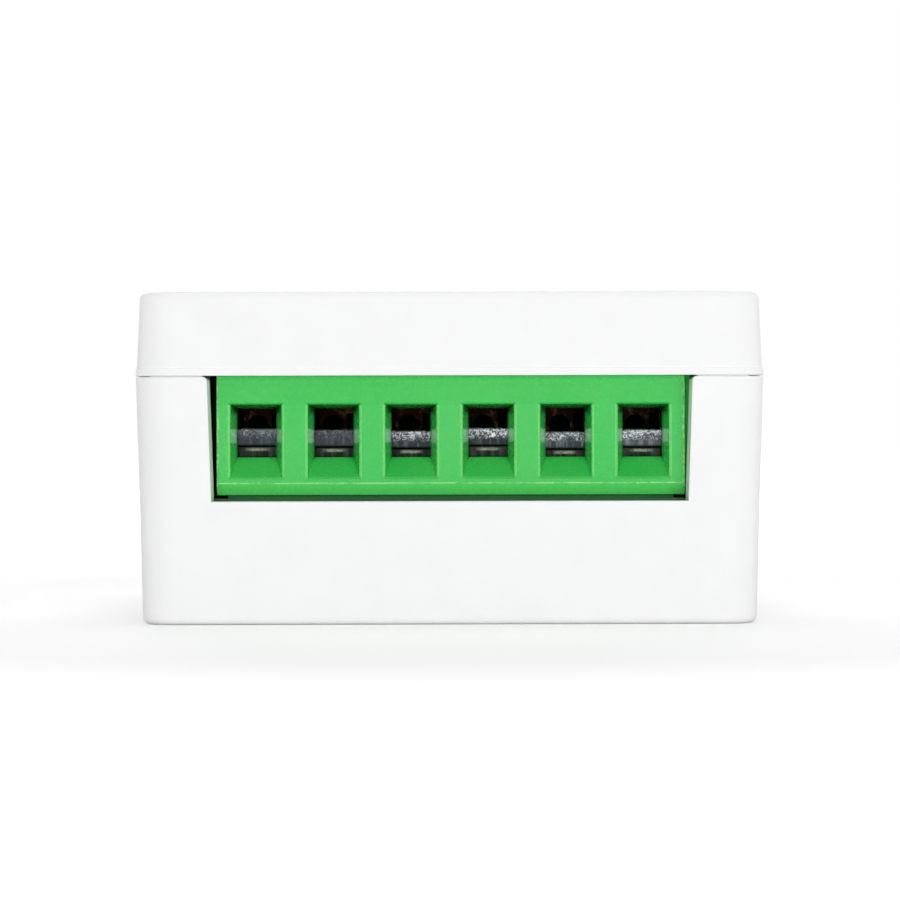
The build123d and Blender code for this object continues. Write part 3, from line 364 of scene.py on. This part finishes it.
def block_plastic(name, color, box):
    """Green of the terminal block: clouded; painted light on chamfer and lip; painted highlights, partly
    flash, on rims, ends and chamfer edge; painted bar reflections; painted shade in the chambers.
    """
    s = Surface(name)
    left, right = box[0].x, box[1].x - RIB_REACH
    across, level = s.place("X"), s.place("Z")
    depth = s.math("SUBTRACT", s.place("Y"), box[0].y)
    between_ends = s.remap(across, (right - RIB_FADE, right), INVERTED)
    ragged = s.noise(RAGGED_SIZE, detail=4.0, roughness=0.65)
    wander = s.times(s.math("SUBTRACT", s.noise(WANDER_SIZE, detail=5.0), 0.5), WANDER_REACH)

    # Clouds, the band over the mouths, painted light on the chamfer and on the strip in the cover's shadow
    clouds = s.remap(s.noise(BLOCK_CLOUD_SIZE, detail=3.0), BLOCK_CLOUD_SPAN)
    over_mouths = s.times(s.remap(level, OVER_MOUTHS_SPAN), s.remap(clouds, MASK, (1.0, 0.5)))
    body = s.mix(over_mouths, s.mix(clouds, color, CLOUD_GREEN), BAND_GREEN)
    body = s.mix(s.remap(s.noise(SPECK_SIZE), NOISE_SPAN), body, tinted(color, 1.05))
    # Painted light: the chamfer is lightened as if it caught more light than its slope does
    body = s.mix(s.remap(level, CHAMFER_SPAN, INVERTED), body, CHAMFER_PAINTED_LIGHT_GREEN)
    # Painted light: the strip just below the cover is lightened to cancel the cover's shadow
    body = s.mix(s.remap(level, LIP_SPAN), body, LIP_PAINTED_LIGHT_GREEN)
    # Painted highlights round the mouths' rounded rims
    body = mouth_rims(s, across, depth, level, ragged, body)

    # Painted reflection of each clamp bar on the sides of its mouth
    painted_reflection = s.times(
        s.band(depth, *BAR_REFLECTION_DEPTH_BAND),
        s.band(s.math("ADD", level, wander), *BAR_REFLECTION_LEVEL_BAND),
        between_ends,
        s.remap(ragged, BAR_REFLECTION_SPAN, (0.65, 0.95)),
    )
    body = s.mix(painted_reflection, body, BAR_REFLECTION_GREEN)

    # Painted highlights on the block's ends, and on the chamfer edge partly moulding flash
    body = s.mix(flash_and_edge_highlights(s, across, depth, level, ragged, wander, (left, right)), body, FLASH_AND_HIGHLIGHT_GREEN)
    # Painted shade: chambers, mouth roofs and the rail under the block darken nearly to black
    shade = chamber_shade(s, depth, level, between_ends)
    s.drive(
        Base_Color=s.mix(shade, body, tinted(color, CHAMBER_SHADE_TONE)),
        Specular_IOR_Level=s.remap(shade, MASK, (0.5, 0.0)),
        Roughness=s.remap(ragged, NOISE_SPAN, (0.22, 0.30)),
        Normal=s.bump(ragged, BLOCK_RELIEF, s.soften(BLOCK_EDGE)),
    )
    return s.material


# Plated sheet metal and turned screws

ROLLING_SIZE = 2.0 * MM
ROLLING_STRETCH = (60.0, 4.0, 60.0)
TURNING_STRETCH = (8.0, 8.0, 90.0)
ROLLING_HEIGHT = 0.004 * MM
PLATING_PATCH = 0.9 * MM
PLATING_GRAIN = 0.35 * MM
PLATING_HEIGHT = 0.02 * MM
PLATED_EDGE = 0.05 * MM
PLATED_WEAR = 0.06 * MM


def plated(name, color, roughness, stretch=ROLLING_STRETCH):
    """Plated metal: rolling or turning lines, dull patches and bright worn edges."""
    s = Surface(name)
    lines = s.noise(ROLLING_SIZE, detail=6.0, roughness=0.7, scale=stretch)
    patches = s.remap(s.noise(PLATING_PATCH), PATCH_SPAN)
    grain = s.noise(PLATING_GRAIN, detail=6.0, roughness=0.65, distortion=0.4)
    base = s.mix(patches, tinted(color, 0.80), tinted(color, 1.12))
    rolled = s.bump(lines, ROLLING_HEIGHT, s.soften(PLATED_EDGE))
    s.drive(
        Base_Color=s.mix(s.edges(PLATED_WEAR), base, tinted(color, 1.35)),
        Metallic=1.0,
        Roughness=s.remap(lines, NOISE_SPAN, (roughness - 0.08, roughness + 0.12)),
        Normal=s.bump(grain, PLATING_HEIGHT, rolled),
    )
    return s.material


# Clamp cages. Distances are below the bar's top edge.

BAR_AND_FOLD = 2.27 * MM
FOLD_DARK = (0.013, 0.021, 0.016)
FOLD_GREY = (0.040, 0.050, 0.040)
FOLD_HIGHLIGHT_STEEL = (0.30, 0.32, 0.23)
GLINT_STEEL = (0.80, 0.85, 0.90)
STREAK_STEEL = (0.40, 0.42, 0.46)
TOP_EDGE_HIGHLIGHT_STEEL = (0.60, 0.64, 0.64)

CRUMPLE_SIZE = 0.30 * MM
CRUMPLE_HEIGHT = 0.05 * MM
DRAWN_SIZE = 0.22 * MM
DRAWN_STRETCH = (1.0, 1.0, 0.12)
DULL_SIZE = 0.6 * MM
CAGE_EDGE = 0.06 * MM

TOP_EDGE_SPAN = (0.03 * MM, 0.09 * MM)
STRIP_END_SPAN = (0.72 * MM, 0.98 * MM)
STRIP_WANDER = 0.3 * MM
GLINT_FALL_SPAN = (0.10 * MM, 0.80 * MM)
SHEEN_FALL_SPAN = (0.10 * MM, 0.85 * MM)
ROUNDED_SPAN = (0.98 * MM, 1.15 * MM)
FOLD_SPAN = (1.20 * MM, 1.28 * MM)
FOLD_HIGHLIGHT_LEVEL_BAND = (1.44 * MM, 0.03 * MM, 0.11 * MM)
FOLD_HIGHLIGHT_WIDTH = (0.40 * MM, 0.45 * MM)
GLINT_SPAN = (0.54, 0.70)
SPARKLE_SHIFT = 0.16


def cage_metal(name, bar_top, middle, tone, glint, sparkle, streak):
    """Clamp cage: crumpled strip along the bar's top with painted glints, sheen, crease shade and top-edge
    highlight, dull band, painted shade on the lower edge, and dark fold with a painted highlight line.
    """
    s = Surface(name)
    below = s.math("SUBTRACT", bar_top, s.place("Z"))
    crumple = s.noise(CRUMPLE_SIZE, detail=3.5, roughness=0.62, distortion=2.2)
    drawn = s.noise(DRAWN_SIZE, detail=3.0, scale=DRAWN_STRETCH)
    dull = s.noise(DULL_SIZE)
    strip = s.remap(s.math("ADD", below, s.times(drawn, STRIP_WANDER)), STRIP_END_SPAN, INVERTED)

    # Dull grey with drawn streaks
    grey = s.mix(s.remap(dull, PATCH_SPAN), tinted(tone, 0.75), tinted(tone, 1.25))
    streaks = s.times(s.remap(drawn, (0.50, 0.64), (0.0, streak)), s.remap(strip, MASK, (1.0, 0.2)))
    face = s.mix(streaks, grey, STREAK_STEEL)

    # Painted sheen and glints on the strip, painted shade in its creases, and a painted highlight on the
    # edge over it
    sheen = s.times(strip, s.remap(below, SHEEN_FALL_SPAN, (0.22 * glint, 0.02)))
    crests = s.math("SUBTRACT", crumple, s.remap(below, GLINT_FALL_SPAN, (0.0, 0.10)))
    shift = SPARKLE_SHIFT * sparkle
    glints = s.times(strip, s.remap(crests, (GLINT_SPAN[0] - shift, GLINT_SPAN[1] - shift)))
    crease_shade = s.times(strip, s.remap(crumple, (0.40, 0.47), INVERTED), 0.7)
    face = s.mix(glints, s.mix(sheen, face, GLINT_STEEL), tinted(GLINT_STEEL, glint))
    face = s.mix(crease_shade, face, tinted(tone, 0.6))
    face = s.mix(s.remap(below, TOP_EDGE_SPAN, (0.75, 0.0)), face, TOP_EDGE_HIGHLIGHT_STEEL)
    # Painted shade on the bar's rounded lower edge
    face = s.mix(s.remap(below, ROUNDED_SPAN, (0.0, 0.8)), face, tinted(FOLD_DARK, 1.6))

    # Fold under the bar, with a painted highlight line across its middle
    fold_highlight = s.times(
        s.band(below, *FOLD_HIGHLIGHT_LEVEL_BAND),
        s.band(s.place("X"), middle, *FOLD_HIGHLIGHT_WIDTH),
        s.remap(crumple, (0.38, 0.58), (0.25, 1.0)),
    )
    fold = s.mix(s.remap(drawn, (0.42, 0.62)), FOLD_DARK, FOLD_GREY)
    fold = s.mix(fold_highlight, fold, FOLD_HIGHLIGHT_STEEL)

    relief = s.times(crumple, s.remap(strip, MASK, (0.1, 1.0)))
    s.drive(
        Base_Color=s.mix(s.remap(below, FOLD_SPAN), face, fold),
        Metallic=1.0,
        Roughness=s.remap(dull, NOISE_SPAN, (0.26, 0.42)),
        Normal=s.bump(relief, CRUMPLE_HEIGHT, s.soften(CAGE_EDGE)),
    )
    return s.material


# Contact strips

STAIN_SIZE = 0.7 * MM
STAIN_HEIGHT = 0.01 * MM
CONTACT_AIR = (4.0 * MM, (0.40, 0.85))
CONTACT_GLINT_EDGE = 0.10 * MM
CONTACT_EDGE = 0.06 * MM


def contact_metal(name, color, glint_color):
    """Copper alloy with painted shade where it is closed in, and painted glints in spots and along its
    edges.
    """
    s = Surface(name)
    stain = s.noise(STAIN_SIZE, detail=5.0, roughness=0.65)
    spots = s.remap(stain, PATCH_SPAN)
    # Painted shade: very dark tones for the copper closed in the chambers
    dark = s.mix(spots, tinted(color, 0.012), tinted(color, 0.045))
    # Painted glints: bright patches on the dark copper
    dark = s.mix(s.remap(stain, (0.53, 0.68), (0.0, 0.6)), dark, tinted(glint_color, 0.5))
    clean = s.mix(spots, tinted(color, 0.75), tinted(color, 1.1))
    # Painted shade where little open air reaches
    face = s.mix(s.open_air(*CONTACT_AIR), dark, clean)
    # Painted glints along the copper's edges
    worn = s.times(s.edges(CONTACT_GLINT_EDGE), s.remap(stain, (0.47, 0.62), (0.0, 0.8)))
    s.drive(
        Base_Color=s.mix(worn, face, glint_color),
        Metallic=1.0,
        Roughness=s.remap(stain, NOISE_SPAN, (0.30, 0.48)),
        Normal=s.bump(stain, STAIN_HEIGHT, s.soften(CONTACT_EDGE)),
    )
    return s.material


# Windings

WIRE_PITCH = 0.12 * MM
WIRE_HEIGHT = 0.05 * MM
ENAMEL_PATCH = 0.6 * MM
# Distance between the bands of Blender's wave texture at scale 1
WAVE_SPACING = 0.314


def wound(name, color, axis):
    """Enamelled wire laid in rings across an axis."""
    s = Surface(name)
    inputs = {"Vector": s.coords, "Scale": WAVE_SPACING / WIRE_PITCH, "Distortion": 0.6, "Detail": 2.0}
    ring = s.node("ShaderNodeTexWave", inputs, wave_type="BANDS", bands_direction=axis)["Fac"]
    s.drive(
        Base_Color=s.mix(ring, tinted(color, 0.45), tinted(color, 1.15)),
        Metallic=0.6,
        Roughness=s.remap(s.noise(ENAMEL_PATCH), NOISE_SPAN, (0.30, 0.45)),
        Normal=s.bump(ring, WIRE_HEIGHT),
    )
    return s.material


# A material for each slot of the record, except cage_steel: each cage has its own

LOOKS = {
    "shell_white": shell_plastic("shell_white_plastic", SHELL_WHITE),
    "terminal_green": block_plastic("terminal_green_plastic", BLOCK_GREEN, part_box("terminal_housing")),
    "board_green": moulded("solder_mask_green", (0.008, 0.075, 0.022), 0.35, grain=0.5 * MM, mottle=0.15),
    "button_white": moulded("button_white_plastic", (0.86, 0.86, 0.865), 0.45, mottle=0.015),
    "light_clear": moulded(
        "light_pipe_clear", (0.90, 0.92, 0.93), 0.22, relief=0.002 * MM, mottle=0.01,
        Transmission_Weight=0.30, IOR=1.49,
    ),
    "lamp_white": moulded("lamp_white", (0.86, 0.82, 0.62), 0.35, mottle=0.05),
    "switch_black": moulded("switch_black_plastic", (0.020, 0.020, 0.022), 0.42, mottle=0.2),
    "plated_steel": plated("tin_plated_sheet", (0.66, 0.66, 0.65), 0.32),
    "screw_steel": plated("nickel_plated_screw", (0.60, 0.60, 0.61), 0.30, TURNING_STRETCH),
    "contact_copper": contact_metal("contact_copper_alloy", (0.40, 0.19, 0.09), (0.50, 0.26, 0.12)),
    "can_black": moulded("can_sleeve_black", (0.018, 0.020, 0.030), 0.30, mottle=0.15),
    "ferrite": moulded(
        "ferrite_grey", (0.055, 0.055, 0.060), 0.60, grain=0.15 * MM, relief=0.02 * MM, mottle=0.2,
    ),
    "tape_yellow": moulded("winding_tape_yellow", (0.62, 0.47, 0.06), 0.38, mottle=0.08),
    "varistor_blue": moulded("varistor_blue_dip", (0.020, 0.070, 0.340), 0.33, grain=0.6 * MM, mottle=0.12),
    "resistor_green": moulded("resistor_green_dip", (0.09, 0.20, 0.11), 0.45, grain=0.5 * MM, mottle=0.12),
    "relay_black": moulded("relay_black_plastic", (0.024, 0.024, 0.027), 0.46, mottle=0.15),
    "bobbin_white": moulded("bobbin_white_plastic", (0.70, 0.68, 0.60), 0.45, mottle=0.04),
    "winding_copper": wound("winding_enamelled_copper", (0.58, 0.20, 0.06), "Y"),
    "soft_iron": plated("zinc_plated_iron", (0.48, 0.48, 0.46), 0.38),
    "blade_bronze": plated("contact_blade_bronze", (0.58, 0.38, 0.18), 0.30),
}

# Each cage: tone of its steel, brightness of the painted glints along the bar's top, how many there are,
# and how streaked the lower band is
CAGE_LOOKS = (
    {"tone": (0.042, 0.056, 0.066), "glint": 0.50, "sparkle": 0.35, "streak": 0.10},
    {"tone": (0.046, 0.052, 0.062), "glint": 0.28, "sparkle": 0.20, "streak": 0.12},
    {"tone": (0.032, 0.038, 0.044), "glint": 0.80, "sparkle": 0.70, "streak": 0.25},
    {"tone": (0.030, 0.040, 0.042), "glint": 1.00, "sparkle": 0.82, "streak": 0.12},
    {"tone": (0.038, 0.048, 0.048), "glint": 0.80, "sparkle": 0.70, "streak": 0.25},
    {"tone": (0.072, 0.090, 0.094), "glint": 1.08, "sparkle": 0.75, "streak": 0.35},
)

slots = {entry["node"]: entry["material_slot"] for entry in frame["record"]["subparts"]}
for node, cad in frame["nodes"].items():
    cad.data.materials.clear()
    if node.startswith("clamp_cage"):
        number = int(node[-1])
        low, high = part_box(node)
        bar_top = low.z + BAR_AND_FOLD
        middle = (low.x + high.x) / 2
        steel = cage_metal(f"cage_steel_{number}", bar_top, middle, **CAGE_LOOKS[number - 1])
        cad.data.materials.append(steel)
    else:
        cad.data.materials.append(LOOKS[slots[node]])


# Floor and world. A glow of 1 is white, and is for the rays that show the background alone.

FLOOR_REACH = 3.0
FLOOR_CORNERS = ((-1, -1), (1, -1), (1, 1), (-1, 1))
FLOOR_LEVEL = -0.02 * MM
FLOOR_TONES = ((0.86, 0.86, 0.86), (0.88, 0.88, 0.88))
PAPER_GRAIN = 4.0 * MM
PAPER_CLOUD = 60.0 * MM
GLOW_RADII = (60.0 * MM, 220.0 * MM)
FLOOR_GLOW = (0.22, 1.0)
WORLD_LEVEL = 0.27


def floor_paint():
    """White paper that turns into the white background away from the object."""
    s = Surface("floor_paper")
    radius = s.node("ShaderNodeVectorMath", {0: s.coords}, operation="LENGTH")["Value"]
    s.drive(
        Base_Color=s.mix(s.noise(PAPER_CLOUD), *FLOOR_TONES),
        Roughness=s.remap(s.noise(PAPER_GRAIN), NOISE_SPAN, (0.88, 0.94)),
        Specular_IOR_Level=0.1,
        Emission_Color=WHITE,
        Emission_Strength=s.times(s.seen_rays(), s.remap(radius, GLOW_RADII, FLOOR_GLOW)),
    )
    return s.material


floor_mesh = bpy.data.meshes.new("floor")
corners = [(x * FLOOR_REACH, y * FLOOR_REACH, FLOOR_LEVEL) for x, y in FLOOR_CORNERS]
floor_mesh.from_pydata(corners, [], [(0, 1, 2, 3)])
floor_mesh.materials.append(floor_paint())
floor = bpy.data.objects.new("floor", floor_mesh)
bpy.context.scene.collection.objects.link(floor)

world = bpy.data.worlds.new("studio")
world.use_nodes = True
sky = Tree(world.node_tree)
background = world.node_tree.nodes["Background"]
sky.feed(background.inputs["Color"], WHITE)
sky.feed(background.inputs["Strength"], sky.remap(sky.seen_rays(), MASK, (WORLD_LEVEL, 1.0)))
bpy.context.scene.world = world


# Lights: places in metres and powers in watts

OBJECT_MIDDLE = (0.0, 0.0, 0.01)


def softbox(name, place, size, power, target=OBJECT_MIDDLE):
    """Area light of this width and height at a place, aimed at a target."""
    data = bpy.data.lights.new(name, "AREA")
    data.shape = "RECTANGLE"
    data.size, data.size_y = size
    data.energy = power
    lamp = bpy.data.objects.new(name, data)
    bpy.context.scene.collection.objects.link(lamp)
    lamp.location = place
    lamp.rotation_euler = (Vector(target) - Vector(place)).to_track_quat("-Z", "Y").to_euler()
    return lamp


# The key light stands low, so it would show as a veil on faces that look forward
key_light = softbox(
    "key_light", place=(0.05, -0.46, 0.08), size=(0.45, 0.12), power=1.33, target=(0.0, -0.02, 0.01),
)
key_light.visible_glossy = False
softbox("roof_light", place=(0.0, 0.05, 0.50), size=(0.35, 0.35), power=0.80)
for side in (-1, 1):
    softbox(f"side_light_{side + 2}", place=(0.45 * side, 0.12, 0.16), size=(0.25, 0.20), power=0.38)
softbox("rear_light", place=(0.0, 0.48, 0.18), size=(0.35, 0.20), power=0.70)


# Camera, fitted to the terminal block's mouths, the seam and the case's outline in the photograph

CAMERA_PLACE = (-1.41 * MM, -256.5 * MM, 12.6 * MM)
CAMERA_YAW = math.radians(0.345)
CAMERA_PITCH = math.radians(-0.301)
CAMERA_ROLL = math.radians(-0.13)
FOCAL_PIXELS = 3615.0
PHOTO_PIXELS = 900
SENSOR_WIDTH = 36.0
NEAREST, FARTHEST = 0.001, 20.0

camera_data = bpy.data.cameras.new("camera")
camera_data.sensor_fit = "HORIZONTAL"
camera_data.sensor_width = SENSOR_WIDTH
camera_data.lens = FOCAL_PIXELS / PHOTO_PIXELS * SENSOR_WIDTH
camera_data.clip_start = NEAREST
camera_data.clip_end = FARTHEST
camera = bpy.data.objects.new("camera", camera_data)
bpy.context.scene.collection.objects.link(camera)

ahead = Vector((math.sin(CAMERA_YAW), math.cos(CAMERA_YAW), 0.0))
right = Vector((math.cos(CAMERA_YAW), -math.sin(CAMERA_YAW), 0.0))
up = Vector((0.0, 0.0, 1.0))
forward = ahead * math.cos(CAMERA_PITCH) + up * math.sin(CAMERA_PITCH)
level_up = up * math.cos(CAMERA_PITCH) - ahead * math.sin(CAMERA_PITCH)
camera_x = right * math.cos(CAMERA_ROLL) + level_up * math.sin(CAMERA_ROLL)
camera_y = level_up * math.cos(CAMERA_ROLL) - right * math.sin(CAMERA_ROLL)
turn = Matrix((camera_x, camera_y, -forward)).transposed()
camera.matrix_world = Matrix.Translation(CAMERA_PLACE) @ turn.to_4x4()
bpy.context.scene.camera = camera

bpy.context.scene.view_settings.view_transform = "Standard"
